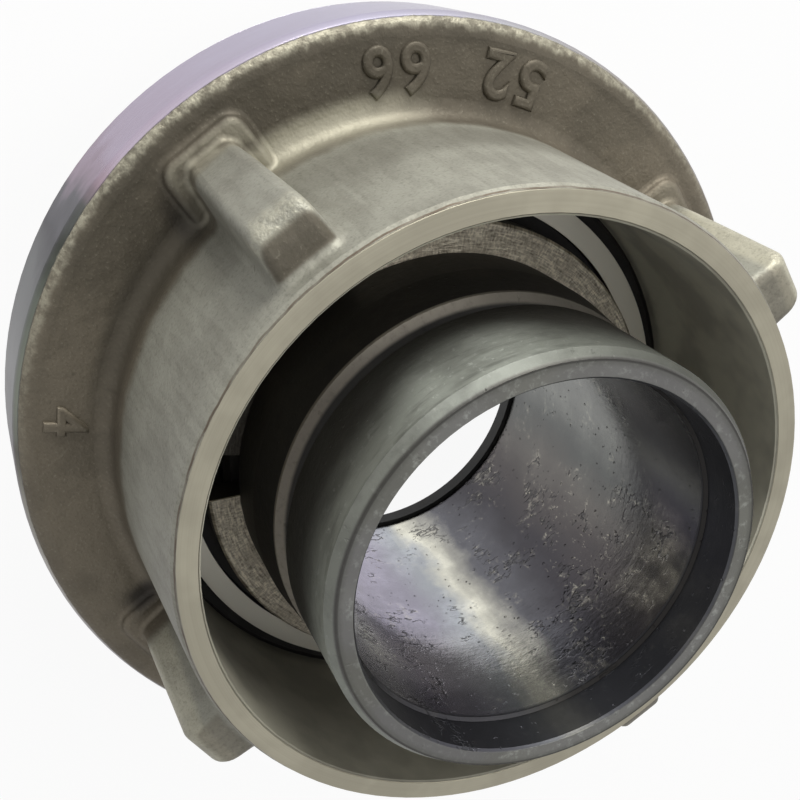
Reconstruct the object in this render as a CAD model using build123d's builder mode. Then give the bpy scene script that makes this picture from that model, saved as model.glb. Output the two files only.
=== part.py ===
"""Quarter-turn fire hose coupling: a locking ring that swivels on a hose tail, a split
retaining ring and a rubber face seal. The axis of the bore is Z, z = 0 is the plane of the
hook tips and +Z points towards the hose end."""

from build123d import *
from math import atan2, cos, degrees, hypot, radians, sin
import os

os.makedirs("parts", exist_ok=True)

# Flange of the locking ring, which the size class fixes
flange_radius = 49.5
flange_front = 9.5
flange_back = 24.5
flange_front_chamfer = 0.7
flange_back_round = 2.4

# Skirt that guards the bound hose end
skirt_base_radius = 38.5
skirt_tip_radius = 37.0
skirt_end = 54.0
skirt_end_bevel = 0.45
skirt_end_bevel_length = 0.9
skirt_bore_tip = 34.1
skirt_bore_base = 34.8
skirt_base_fillet = 2.2
skirt_mouth_chamfer = 0.3

# Machined shoulder, relief groove and swivel web inside the skirt
relief_top = 31.0
relief_floor = 26.3
shoulder_radius = 33.1
shoulder_top = 28.2
pocket_radius = 30.4
web_back = 27.0
web_front = 21.0
web_bore = 26.0
edge_break = 0.35

# Front recess that takes the collar of the tail
recess_radius = 33.0

# Bayonet channel with its inward lip, two entries and two hooks
hook_count = 2
hook_half_angle = 17.0
hook_inner = 33.2
hook_stem = 37.2
hook_claw = 40.6
hook_claw_height = 4.2
hook_claw_slope = 0.7
hook_edge = 0.9
channel_side_gap = 0.6
channel_outer = 41.0
channel_floor = 18.5
lip_inner = 37.9
lip_back_deep = 14.2
lip_back_mean = 13.5
ramp_rise = 0.55
entry_start = 20.0
entry_end = 62.0

# Spanner lugs along the skirt
lug_count = 4
lug_base_half = 3.9
lug_top_half = 3.1
lug_root = 35.6
lug_top_low = 44.1
lug_top_high = 42.6
lug_end = 51.0
lug_end_round = 3.0
lug_edge_round = 2.0
lug_root_fillet = 1.2
lug_foot_half = 5.6
lug_foot_top = 45.6
lug_foot_height = 1.3
lug_foot_round = 2.2
lug_foot_edge = 0.9
lug_foot_fillet = 0.7

# Hose tail
bore_radius = 21.0
mouth_radius = 21.5
mouth_depth = 5.0
mouth_step = 0.35
tail_end = 64.2
tail_end_inner = 21.75
tail_end_outer = 23.5
tail_seat_radius = 24.3
tail_seat_low = 50.0
tail_seat_high = 62.9
valley_radius = 22.8
valley_low = 47.5
valley_high = 49.2
rib_radius = 24.5
rib_crest = 46.3
neck_radius = 25.25
neck_high = 40.0
journal_radius = 25.95
journal_end = 28.0
collar_radius = 32.6
collar_back = 20.7
collar_front = 10.3
collar_chamfer = 0.6

# Seal groove in the face of the collar and the tongue between it and the bore
tongue_radius = 22.9
tongue_front = 12.8
groove_radius = 29.9
groove_floor = 16.0
groove_lip_back = 12.6
groove_lip_slope = 0.9
groove_lip_radius = 28.7

# Split retaining ring and its groove in the neck
retainer_inner = 23.75
retainer_outer = 28.95
retainer_low = 29.1
retainer_high = 33.1
retainer_edge = 0.3
retainer_gap_angle = 12.0
retainer_gap_start = 46.5
retainer_groove = 23.6
retainer_clearance = 0.15

# Rubber face seal
seal_outer = 29.75
seal_back = 15.85
seal_bead_front = 12.75
seal_neck = 28.5
seal_face = 8.8
seal_face_round = 0.8
seal_lip_radius = 20.5
seal_lip_front = 10.3
seal_lip_back = 12.4
seal_hollow = 23.4


def radial_plane(angle):
    """Plane through Z whose local x points outwards at the angle and whose local y is Z."""
    out = (cos(radians(angle)), sin(radians(angle)), 0)
    side = (sin(radians(angle)), -cos(radians(angle)), 0)
    return Plane(origin=(0, 0, 0), x_dir=out, z_dir=side)


def reach(edge):
    """Distance of an edge's middle from the Z axis."""
    middle = edge.center()
    return hypot(middle.X, middle.Y)


def lies_outside_lug(edge):
    """Whether an edge of the lug on +X is on the rim of its foot."""
    middle = edge.center()
    beyond_flanks = abs(middle.Y) > lug_base_half + 0.3
    return (beyond_flanks and middle.X > lug_root + 0.5) or middle.X > lug_top_low + 0.1


def meets_lug(edge):
    """Whether an edge on top of a foot is where its lug rises."""
    middle = edge.center()
    pitch = 360 / lug_count
    turn = (degrees(atan2(middle.Y, middle.X)) + pitch / 2) % pitch - pitch / 2
    beside = abs(reach(edge) * sin(radians(turn)))
    return beside < lug_base_half + 0.4 and skirt_base_radius < reach(edge) < lug_top_low + 0.1


def on_skirt_outside(edge):
    """Whether an edge lies on the outside of the skirt."""
    return skirt_tip_radius - 0.5 < reach(edge) < skirt_base_radius + 0.5


# The half section of the locking ring, before the bayonet channel is cut
ring_section = [
    (web_bore, web_front),
    (recess_radius, web_front),
    (recess_radius, flange_front),
    (flange_radius, flange_front),
    (flange_radius, flange_back),
    (skirt_base_radius, flange_back),
    (skirt_tip_radius, skirt_end - skirt_end_bevel_length),
    (skirt_tip_radius - skirt_end_bevel, skirt_end),
    (skirt_bore_tip, skirt_end),
    (skirt_bore_base, relief_top),
    (skirt_bore_base, relief_floor),
    (shoulder_radius, relief_floor),
    (shoulder_radius, shoulder_top),
    (pocket_radius, shoulder_top),
    (pocket_radius, web_back),
    (web_bore, web_back),
]

# One spanner lug on its low cast foot: a side profile with a rounded end, trimmed to a
# rounded cross section and standing on a rounded plate
foot_top = flange_back + lug_foot_height
with BuildPart() as lug:
    with BuildSketch(Plane.XZ) as lug_side:
        with BuildLine():
            Polyline(
                (lug_root, flange_back - 1),
                (lug_top_low, flange_back - 1),
                (lug_top_high, lug_end),
                (lug_root, lug_end),
                close=True,
            )
        make_face()
        fillet(lug_side.vertices().sort_by_distance((lug_top_high, lug_end))[0], lug_end_round)
    extrude(amount=lug_base_half + 1, both=True)
    with BuildSketch(Plane.XY.offset(flange_back - 1)) as lug_section:
        with BuildLine():
            Polyline(
                (lug_root, -lug_base_half),
                (lug_top_low, -lug_top_half),
                (lug_top_low, lug_top_half),
                (lug_root, lug_base_half),
                close=True,
            )
        make_face()
        fillet(lug_section.vertices().group_by(Axis.X)[-1], lug_edge_round)
    extrude(amount=lug_end, mode=Mode.INTERSECT)
    with BuildSketch(Plane.XY.offset(flange_back - 1)) as foot_section:
        with Locations(((lug_root + lug_foot_top) / 2, 0)):
            Rectangle(lug_foot_top - lug_root, 2 * lug_foot_half)
        fillet(foot_section.vertices().group_by(Axis.X)[-1], lug_foot_round)
    extrude(amount=lug_foot_height + 1)
    level_edges = lug.edges().filter_by_position(Axis.Z, foot_top - 0.01, foot_top + 0.01)
    outer_edges = [edge for edge in level_edges if lies_outside_lug(edge)]
    fillet(outer_edges, lug_foot_edge)

# What the ramp takes off the back of one lip: the part of the channel's arc above a leaning plane
with BuildPart() as ramp_cut:
    ramp_end = 180 - hook_half_angle - channel_side_gap
    ramp_half = (ramp_end - entry_end) / 2
    with BuildSketch(radial_plane(entry_end)):
        with BuildLine():
            Polyline(
                (lip_inner - 1, lip_back_mean - 2 * ramp_rise),
                (channel_outer, lip_back_mean - 2 * ramp_rise),
                (channel_outer, channel_floor - 1),
                (lip_inner - 1, channel_floor - 1),
                close=True,
            )
        make_face()
    revolve(axis=Axis.Z, revolution_arc=2 * ramp_half)
    ramp_middle = radians(ramp_end - ramp_half)
    lean = ramp_rise / (channel_outer * sin(radians(ramp_half)))
    ramp_plane = Plane(
        origin=(0, 0, lip_back_mean),
        x_dir=(cos(ramp_middle), sin(ramp_middle), 0),
        z_dir=(lean * sin(ramp_middle), -lean * cos(ramp_middle), 1),
    )
    split(bisect_by=ramp_plane, keep=Keep.TOP)

with BuildPart() as locking_ring:
    with BuildSketch(radial_plane(45)) as ring_half:
        with BuildLine():
            Polyline(*ring_section, close=True)
        make_face()
        corners = ring_half.vertices()
        fillet(corners.sort_by_distance((flange_radius, flange_back))[0], flange_back_round)
        corners = ring_half.vertices()
        fillet(corners.sort_by_distance((skirt_base_radius, flange_back))[0], skirt_base_fillet)
        for radius, height, size in (
            (flange_radius, flange_front, flange_front_chamfer),
            (skirt_bore_tip, skirt_end, skirt_mouth_chamfer),
            (web_bore, web_front, edge_break),
            (web_bore, web_back, edge_break),
            (recess_radius, flange_front, edge_break),
        ):
            chamfer(ring_half.vertices().sort_by_distance((radius, height))[0], size)
    revolve(axis=Axis.Z)

    with PolarLocations(0, lug_count):
        add(lug.part)
    skirt_edges = locking_ring.edges().filter_by_position(Axis.Z, relief_top, lug_end + 0.1)
    fillet([edge for edge in skirt_edges if on_skirt_outside(edge)], lug_root_fillet)
    foot_edges = locking_ring.edges().filter_by_position(Axis.Z, foot_top - 0.01, foot_top + 0.01)
    fillet([edge for edge in foot_edges if meets_lug(edge)], lug_foot_fillet)

    for turn in range(0, 360, 360 // hook_count):
        channel_start = turn + hook_half_angle + channel_side_gap
        channel_arc = 180 - 2 * (hook_half_angle + channel_side_gap)

        # Undercut channel behind the lip, open to the front between the lip and the collar
        with BuildSketch(radial_plane(channel_start)):
            with BuildLine():
                Polyline(
                    (recess_radius - 1, flange_front - 1),
                    (lip_inner, flange_front - 1),
                    (lip_inner, lip_back_deep),
                    (channel_outer, lip_back_deep),
                    (channel_outer, channel_floor),
                    (recess_radius - 1, channel_floor),
                    close=True,
                )
            make_face()
        revolve(axis=Axis.Z, revolution_arc=channel_arc, mode=Mode.SUBTRACT)

        # Entry in the lip, through which the mating hook drops before the quarter turn
        with BuildSketch(radial_plane(turn + entry_start)):
            with BuildLine():
                Polyline(
                    (lip_inner - 1, flange_front - 1),
                    (channel_outer, flange_front - 1),
                    (channel_outer, lip_back_deep + 1),
                    (lip_inner - 1, lip_back_deep + 1),
                    close=True,
                )
            make_face()
        revolve(axis=Axis.Z, revolution_arc=entry_end - entry_start, mode=Mode.SUBTRACT)

        # Ramp on the back of the lip, which thins it towards the entry
        with PolarLocations(0, 1, start_angle=turn):
            add(ramp_cut.part, mode=Mode.SUBTRACT)

        # Hook: a stem on the flange face with a claw that leans outwards
        with BuildSketch(radial_plane(turn - hook_half_angle)) as hook_section:
            with BuildLine():
                Polyline(
                    (hook_inner, flange_front + 1),
                    (hook_inner, 0),
                    (hook_claw, 0),
                    (hook_claw, hook_claw_height),
                    (hook_stem, hook_claw_height + hook_claw_slope),
                    (hook_stem, flange_front + 1),
                    close=True,
                )
            make_face()
            tips = hook_section.vertices().sort_by_distance((hook_claw, 0))[0:1]
            tips += hook_section.vertices().sort_by_distance((hook_inner, 0))[0:1]
            chamfer(tips, hook_edge)
        revolve(axis=Axis.Z, revolution_arc=2 * hook_half_angle)
locking_ring.part.label = "locking_ring"
export_step(locking_ring.part, "parts/locking_ring.step")

# Hose tail: collar with the seal groove, swivel journal, retainer groove, rib and hose seat
tail_section = [
    (bore_radius, tongue_front),
    (tongue_radius, tongue_front),
    (tongue_radius, groove_floor),
    (groove_radius, groove_floor),
    (groove_radius, groove_lip_back),
    (groove_lip_radius, groove_lip_back - groove_lip_slope),
    (groove_lip_radius, collar_front),
    (collar_radius, collar_front),
    (collar_radius, collar_back),
    (journal_radius, collar_back),
    (journal_radius, journal_end),
    (neck_radius, journal_end + journal_radius - neck_radius),
    (neck_radius, retainer_low - retainer_clearance),
    (retainer_groove, retainer_low - retainer_clearance),
    (retainer_groove, retainer_high + retainer_clearance),
    (neck_radius, retainer_high + retainer_clearance),
    (neck_radius, neck_high),
    (rib_radius, rib_crest),
    (valley_radius, valley_low),
    (valley_radius, valley_high),
    (tail_seat_radius, tail_seat_low),
    (tail_seat_radius, tail_seat_high),
    (tail_end_outer, tail_end),
    (tail_end_inner, tail_end),
    (mouth_radius, tail_end - mouth_step),
    (bore_radius + mouth_step, tail_end - mouth_depth),
    (bore_radius, tail_end - mouth_depth - mouth_step),
]

with BuildPart() as hose_tail:
    with BuildSketch(Plane.XZ) as tail_half:
        with BuildLine():
            Polyline(*tail_section, close=True)
        make_face()
        for radius, height in (
            (collar_radius, collar_front),
            (collar_radius, collar_back),
        ):
            chamfer(tail_half.vertices().sort_by_distance((radius, height))[0], collar_chamfer)
    revolve(axis=Axis.Z)
hose_tail.part.label = "hose_tail"
export_step(hose_tail.part, "parts/hose_tail.step")

# Split ring that snaps into the neck and holds the locking ring on the tail
with BuildPart() as retaining_ring:
    retainer_start = retainer_gap_start + retainer_gap_angle
    with BuildSketch(radial_plane(retainer_start)) as retainer_section:
        with Locations(
            ((retainer_inner + retainer_outer) / 2, (retainer_low + retainer_high) / 2)
        ):
            Rectangle(retainer_outer - retainer_inner, retainer_high - retainer_low)
        chamfer(retainer_section.vertices(), retainer_edge)
    revolve(axis=Axis.Z, revolution_arc=360 - retainer_gap_angle)
retaining_ring.part.label = "retaining_ring"
export_step(retaining_ring.part, "parts/retaining_ring.step")

# Face seal: a bead keyed behind the collar's lip, a flat face and a flexible inner lip
seal_section = [
    (seal_hollow, seal_back),
    (seal_outer, seal_back),
    (seal_outer, seal_bead_front),
    (seal_neck, seal_bead_front - groove_lip_slope),
    (seal_neck, seal_face),
    (seal_hollow, seal_face),
    (seal_lip_radius, seal_lip_front),
    (seal_lip_radius, seal_lip_back),
    (seal_hollow, seal_lip_back),
]

with BuildPart() as sealing_ring:
    with BuildSketch(Plane.XZ) as seal_half:
        with BuildLine():
            Polyline(*seal_section, close=True)
        make_face()
        fillet(
            seal_half.vertices().sort_by_distance((seal_neck, seal_face))[0], seal_face_round
        )
    revolve(axis=Axis.Z)
sealing_ring.part.label = "sealing_ring"
export_step(sealing_ring.part, "parts/sealing_ring.step")
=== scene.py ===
"""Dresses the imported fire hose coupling: finishes for its four pieces, a plain studio and a camera."""

from __future__ import annotations

import logging
import math
from dataclasses import dataclass, field
from enum import Enum
from functools import cached_property
from typing import Mapping, Sequence, Union

import bpy
from mathutils import Matrix, Vector


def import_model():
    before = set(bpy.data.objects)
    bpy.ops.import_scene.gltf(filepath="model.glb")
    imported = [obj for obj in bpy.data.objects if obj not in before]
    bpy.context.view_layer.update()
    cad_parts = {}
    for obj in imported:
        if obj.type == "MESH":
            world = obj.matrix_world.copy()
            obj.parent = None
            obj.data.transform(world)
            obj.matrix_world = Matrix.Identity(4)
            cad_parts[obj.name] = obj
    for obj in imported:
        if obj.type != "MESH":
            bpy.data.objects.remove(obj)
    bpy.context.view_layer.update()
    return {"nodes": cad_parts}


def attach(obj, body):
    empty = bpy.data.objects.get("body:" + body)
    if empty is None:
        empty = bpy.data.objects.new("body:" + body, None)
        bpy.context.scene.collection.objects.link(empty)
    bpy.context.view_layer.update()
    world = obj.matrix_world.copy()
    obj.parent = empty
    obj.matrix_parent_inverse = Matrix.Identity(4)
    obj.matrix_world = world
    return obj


log = logging.getLogger("coupling")

MM = 0.001
CAP_SHARE = 0.70  # height of a digit as a share of the font's size

Colour = tuple[float, float, float]
WHITE: Colour = (1.0, 1.0, 1.0)
Input = Union["Field", float, Sequence[float]]


class Mode(Enum):
    """How two colours are joined."""

    MIX = "MIX"
    MULTIPLY = "MULTIPLY"


@dataclass(frozen=True)
class Field:
    """A shader socket that can stand in arithmetic.

    Args:
        graph: The material graph that the socket belongs to.
        socket: The output socket that carries the values.
    """

    graph: "Graph"
    socket: bpy.types.NodeSocket

    def _math(self, operation: str, first: Input, second: Input) -> "Field":
        """Adds one Math node and returns its output."""
        made = self.graph.node("ShaderNodeMath", {"operation": operation}, {0: first, 1: second})
        return Field(self.graph, made.outputs[0])

    def __add__(self, other: Input) -> "Field":
        """Returns self + other."""
        return self._math("ADD", self, other)

    def __radd__(self, other: Input) -> "Field":
        """Returns other + self."""
        return self._math("ADD", other, self)

    def __sub__(self, other: Input) -> "Field":
        """Returns self - other."""
        return self._math("SUBTRACT", self, other)

    def __rsub__(self, other: Input) -> "Field":
        """Returns other - self."""
        return self._math("SUBTRACT", other, self)

    def __mul__(self, other: Input) -> "Field":
        """Returns self * other."""
        return self._math("MULTIPLY", self, other)

    def __rmul__(self, other: Input) -> "Field":
        """Returns other * self."""
        return self._math("MULTIPLY", other, self)

    def __truediv__(self, other: Input) -> "Field":
        """Returns self / other."""
        return self._math("DIVIDE", self, other)

    def __pow__(self, other: Input) -> "Field":
        """Returns self ** other."""
        return self._math("POWER", self, other)

    def highest(self, other: Input) -> "Field":
        """Returns the larger of the two."""
        return self._math("MAXIMUM", self, other)

    def lowest(self, other: Input) -> "Field":
        """Returns the smaller of the two."""
        return self._math("MINIMUM", self, other)

    def size(self) -> "Field":
        """Returns the value without its sign."""
        return self._math("ABSOLUTE", self, 0.0)

    def rise(self, low: float, high: float) -> "Field":
        """Returns a smooth step from 0 at low to 1 at high; it falls where low > high.

        Args:
            low: The value at which the step is 0.
            high: The value at which it is 1.

        Returns:
            The stepped field.
        """
        settings = {"interpolation_type": "SMOOTHSTEP"}
        start, end = (0.0, 1.0) if low < high else (1.0, 0.0)
        values = {"Value": self, "From Min": min(low, high), "From Max": max(low, high)}
        values.update({"To Min": start, "To Max": end})
        return Field(self.graph, self.graph.node("ShaderNodeMapRange", settings, values).outputs[0])

    def band(self, low: float, high: float, soft: float) -> "Field":
        """Returns 1 between low and high, with edges that are soft wide."""
        return self.rise(low - soft, low + soft) * self.rise(high + soft, high - soft)


class Graph:
    """The node graph of one material, with object coordinates in metres ready to use."""

    def __init__(self, name: str) -> None:
        """Starts an empty Principled material.

        Args:
            name: The material's name.
        """
        self.material = bpy.data.materials.new(name)
        self.material.use_nodes = True
        self.tree = self.material.node_tree
        self.tree.nodes.clear()
        self.output = self.node("ShaderNodeOutputMaterial", {}, {})
        coordinates = self.node("ShaderNodeTexCoord", {}, {})
        self.place = Field(self, coordinates.outputs["Object"])
        split = self.node("ShaderNodeSeparateXYZ", {}, {0: self.place})
        self.x, self.y, self.z = (Field(self, split.outputs[axis]) for axis in range(3))
        self.radius = (self.x * self.x + self.y * self.y) ** 0.5

    def node(
        self, kind: str, settings: Mapping[str, object], sockets: Mapping[object, Input]
    ) -> bpy.types.Node:
        """Adds a node, sets it up, then fills or links its sockets.

        Args:
            kind: The node's type name.
            settings: Properties to set first; "stops" holds a colour ramp's stops.
            sockets: Input name or index to a value or a Field.

        Returns:
            The new node.
        """
        made = self.tree.nodes.new(kind)
        for key, value in settings.items():
            if key == "stops":
                self._set_stops(made.color_ramp, value)
            else:
                setattr(made, key, value)
        for key, value in sockets.items():
            if isinstance(value, Field):
                self.tree.links.new(value.socket, made.inputs[key])
            else:
                made.inputs[key].default_value = value
        return made

    def _set_stops(self, ramp: bpy.types.ColorRamp, stops: Sequence[tuple[float, Colour]]) -> None:
        """Gives a colour ramp its stops.

        Args:
            ramp: The ramp.
            stops: Positions from 0 to 1 and the colours there.
        """
        while len(ramp.elements) > 1:
            ramp.elements.remove(ramp.elements[-1])
        for index, (position, colour) in enumerate(stops):
            element = ramp.elements[0] if index == 0 else ramp.elements.new(position)
            element.position = position
            element.color = (*colour, 1.0)

    def wrapped(self, radius: float, along: float, around: float) -> Field:
        """Returns coordinates that follow a turned surface, counted in cells.

        Args:
            radius: Radius at which the cells have their size, in millimetres.
            along: Cell size along the turned profile, in millimetres.
            around: Cell size around the axis, in millimetres.

        Returns:
            A vector field that has no seam.
        """
        ring = radius / around
        across = (self.x / self.radius) * ring
        upright = (self.y / self.radius) * ring
        level = (self.z + self.radius) / (along * MM)
        made = self.node("ShaderNodeCombineXYZ", {}, {0: across, 1: upright, 2: level})
        return Field(self, made.outputs[0])

    def noise(
        self, size: float, detail: float = 4.0, roughness: float = 0.55, where: Field | None = None
    ) -> Field:
        """Returns fractal noise from about 0 to 1.

        Args:
            size: Cell size, in millimetres, or in cells where coordinates are given.
            detail: Number of octaves.
            roughness: How much each octave adds.
            where: The coordinates; the object's own when left out.

        Returns:
            The noise field.
        """
        scale = 1.0 / size if where is not None else 1.0 / (size * MM)
        values = {"Vector": where or self.place, "Scale": scale, "Detail": detail}
        values["Roughness"] = roughness
        return Field(self, self.node("ShaderNodeTexNoise", {}, values).outputs[0])

    def toward(self, azimuth: float, spread: float) -> Field:
        """Returns 1 on one side of the axis, and 0 away from it.

        Args:
            azimuth: Where the side is, in degrees.
            spread: How far from there the field falls to 0, in degrees.

        Returns:
            The field.
        """
        turn = math.radians(azimuth)
        facing = (self.x * math.cos(turn) + self.y * math.sin(turn)) / self.radius
        return facing.rise(math.cos(math.radians(spread)), 1.0)

    def sides(self, seam: float, stops: Sequence[tuple[float, Colour]], drift: Input = 0.0) -> Field:
        """Returns colours that change around the axis.

        Args:
            seam: Azimuth where the turn starts and ends; both ends should have one colour.
            stops: Azimuths in degrees, counted up from the seam, and the colours there.
            drift: Shifts the colours, in shares of a turn.

        Returns:
            The colour field.
        """
        turn = math.radians(seam)
        ahead = self.x * math.cos(turn) + self.y * math.sin(turn)
        aside = self.y * math.cos(turn) - self.x * math.sin(turn)
        angle = self.node("ShaderNodeMath", {"operation": "ARCTAN2"}, {0: aside * -1.0, 1: ahead * -1.0})
        share = Field(self, angle.outputs[0]) / math.tau + 0.5 + drift
        return self.ramp(share, [((azimuth - seam) / 360.0, colour) for azimuth, colour in stops])

    def cells(self, size: float, where: Field) -> Field:
        """Returns the distance to the nearest of points scattered over the coordinates."""
        values = {"Vector": where, "Scale": 1.0 / size}
        return Field(self, self.node("ShaderNodeTexVoronoi", {}, values).outputs[0])

    def colour(self, value: Colour) -> tuple[float, float, float, float]:
        """Returns a colour with full alpha, as colour sockets want it."""
        return (*value, 1.0)

    def mix(self, share: Input, first: Input, second: Input, mode: Mode = Mode.MIX) -> Field:
        """Mixes two colours.

        Args:
            share: How much of the second colour shows.
            first: The colour where share is 0.
            second: The colour where share is 1.
            mode: How the two are joined.

        Returns:
            The mixed colour.
        """
        settings = {"data_type": "RGBA", "blend_type": mode.value}
        values = {"Factor": share, 6: self._rgba(first), 7: self._rgba(second)}
        return Field(self, self.node("ShaderNodeMix", settings, values).outputs[2])

    def _rgba(self, value: Input) -> Input:
        """Gives a plain colour its alpha and leaves a Field alone."""
        return value if isinstance(value, Field) else self.colour(tuple(value))

    def ramp(self, factor: Field, stops: Sequence[tuple[float, Colour]]) -> Field:
        """Returns the colours of a ramp at the factor."""
        return Field(self, self.node("ShaderNodeValToRGB", {"stops": stops}, {0: factor}).outputs[0])

    def blend(self, share: Field, first: Input, second: Input) -> Field:
        """Returns first where share is 0 and second where it is 1, as numbers."""
        return share * second + (1.0 - share) * first

    def bump(self, height: Field) -> Field:
        """Turns a height in millimetres into a normal."""
        values = {"Height": height, "Distance": MM, "Strength": 1.0}
        return Field(self, self.node("ShaderNodeBump", {}, values).outputs[0])

    def finish(self, sockets: Mapping[object, Input]) -> bpy.types.Material:
        """Ends the graph with a Principled shader.

        Args:
            sockets: Input name to a value or a Field.

        Returns:
            The finished material.
        """
        shader = self.node("ShaderNodeBsdfPrincipled", {}, sockets)
        self.tree.links.new(shader.outputs[0], self.output.inputs[0])
        return self.material


@dataclass(frozen=True)
class Zones:
    """Radius and height over one piece, which its masks are read from.

    Args:
        g: The piece's graph.
    """

    g: Graph

    @cached_property
    def r(self) -> Field:
        """Distance from the axis, in millimetres."""
        return self.g.radius / MM

    @cached_property
    def z(self) -> Field:
        """Height, in millimetres."""
        return self.g.z / MM


class Lug(Enum):
    """Azimuths of the spanner lugs that get their own painted highlights and shade, in degrees."""

    LIT_AND_SHADED = 0.0
    DULL = 90.0
    BRIGHT = -90.0


@dataclass(frozen=True)
class CastingSizes:
    """Heights and radii that part the locking ring's surfaces, in millimetres.

    Args:
        front: Height of the flange's front.
        back: Height of the flange's back.
        band_top: Height where the turned band ends below the rounded cast edge.
        band_radius: Least radius of the turned band.
        edge_radius: Radius where the flange's rounded edge begins.
        skirt: Outer radius of the skirt, near the flange.
        foot: Outer radius of the fillet around the skirt's foot.
        end: Height of the skirt's end face.
        end_edge: Radius outside which the wavy line of the end face runs.
        inner_radius: Radius inside which the skirt's inner wall lies.
        relief: Radius of the wall of the relief groove.
        relief_floor: Height of the relief groove's floor.
        shoulder: Height of the shoulder around the retaining ring.
        shoulder_radius: Outer radius of that shoulder.
        pocket_radius: Inner radius of that shoulder.
        web: Height of the web's front.
        web_radius: Radius of the bayonet channel.
        lug_radius: Radius outside which only a lug stands above the flange.
        lug_foot: Height where the lugs' low feet begin.
        lug_end: Height of the lugs' ends.
    """

    front: float = 9.5
    back: float = 24.5
    band_top: float = 23.6
    band_radius: float = 48.8
    edge_radius: float = 47.7
    skirt: float = 37.9
    foot: float = 41.4
    end: float = 54.0
    end_edge: float = 36.2
    inner_radius: float = 35.3
    relief: float = 34.8
    relief_floor: float = 26.3
    shoulder: float = 28.2
    shoulder_radius: float = 33.1
    pocket_radius: float = 30.4
    web: float = 21.5
    web_radius: float = 41.0
    lug_radius: float = 40.0
    lug_foot: float = 25.3
    lug_end: float = 51.0


class CastingMarks:
    """Fields that the casting's finish is mixed from: grain, stains and tool marks."""

    def __init__(self, g: Graph) -> None:
        """Makes the fields.

        Args:
            g: The casting's graph.
        """
        self.grain = g.noise(0.36, 2.0, 0.6)
        self.lumps = g.noise(2.6, 3.0, 0.5)
        self.clouds = g.noise(9.0, 3.0, 0.55)
        self.crumple = g.noise(1.1, 3.0, 0.65)
        self.drawn = g.noise(1.0, 3.0, 0.6, g.wrapped(38.0, 9.0, 1.3))
        self.lathe = g.noise(1.0, 3.0, 0.6, g.wrapped(36.0, 0.16, 50.0))
        self.wave = g.noise(1.0, 2.0, 0.5, g.wrapped(37.0, 40.0, 3.2)) - 0.5
        self.ragged = g.noise(1.0, 3.0, 0.65, g.wrapped(49.0, 30.0, 2.0)) - 0.5
        self.reflection_drift = g.noise(1.0, 3.0, 0.6, g.wrapped(49.0, 8.0, 9.0)) - 0.5
        self.patchy = self.lumps.rise(0.30, 0.62)
        self.wear_and_light = self.lathe.rise(0.35, 0.70)
        holes = g.cells(1.0, g.wrapped(38.0, 2.4, 2.4)).rise(0.13, 0.05)
        self.pits = holes * self.clouds.rise(0.50, 0.62)


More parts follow.
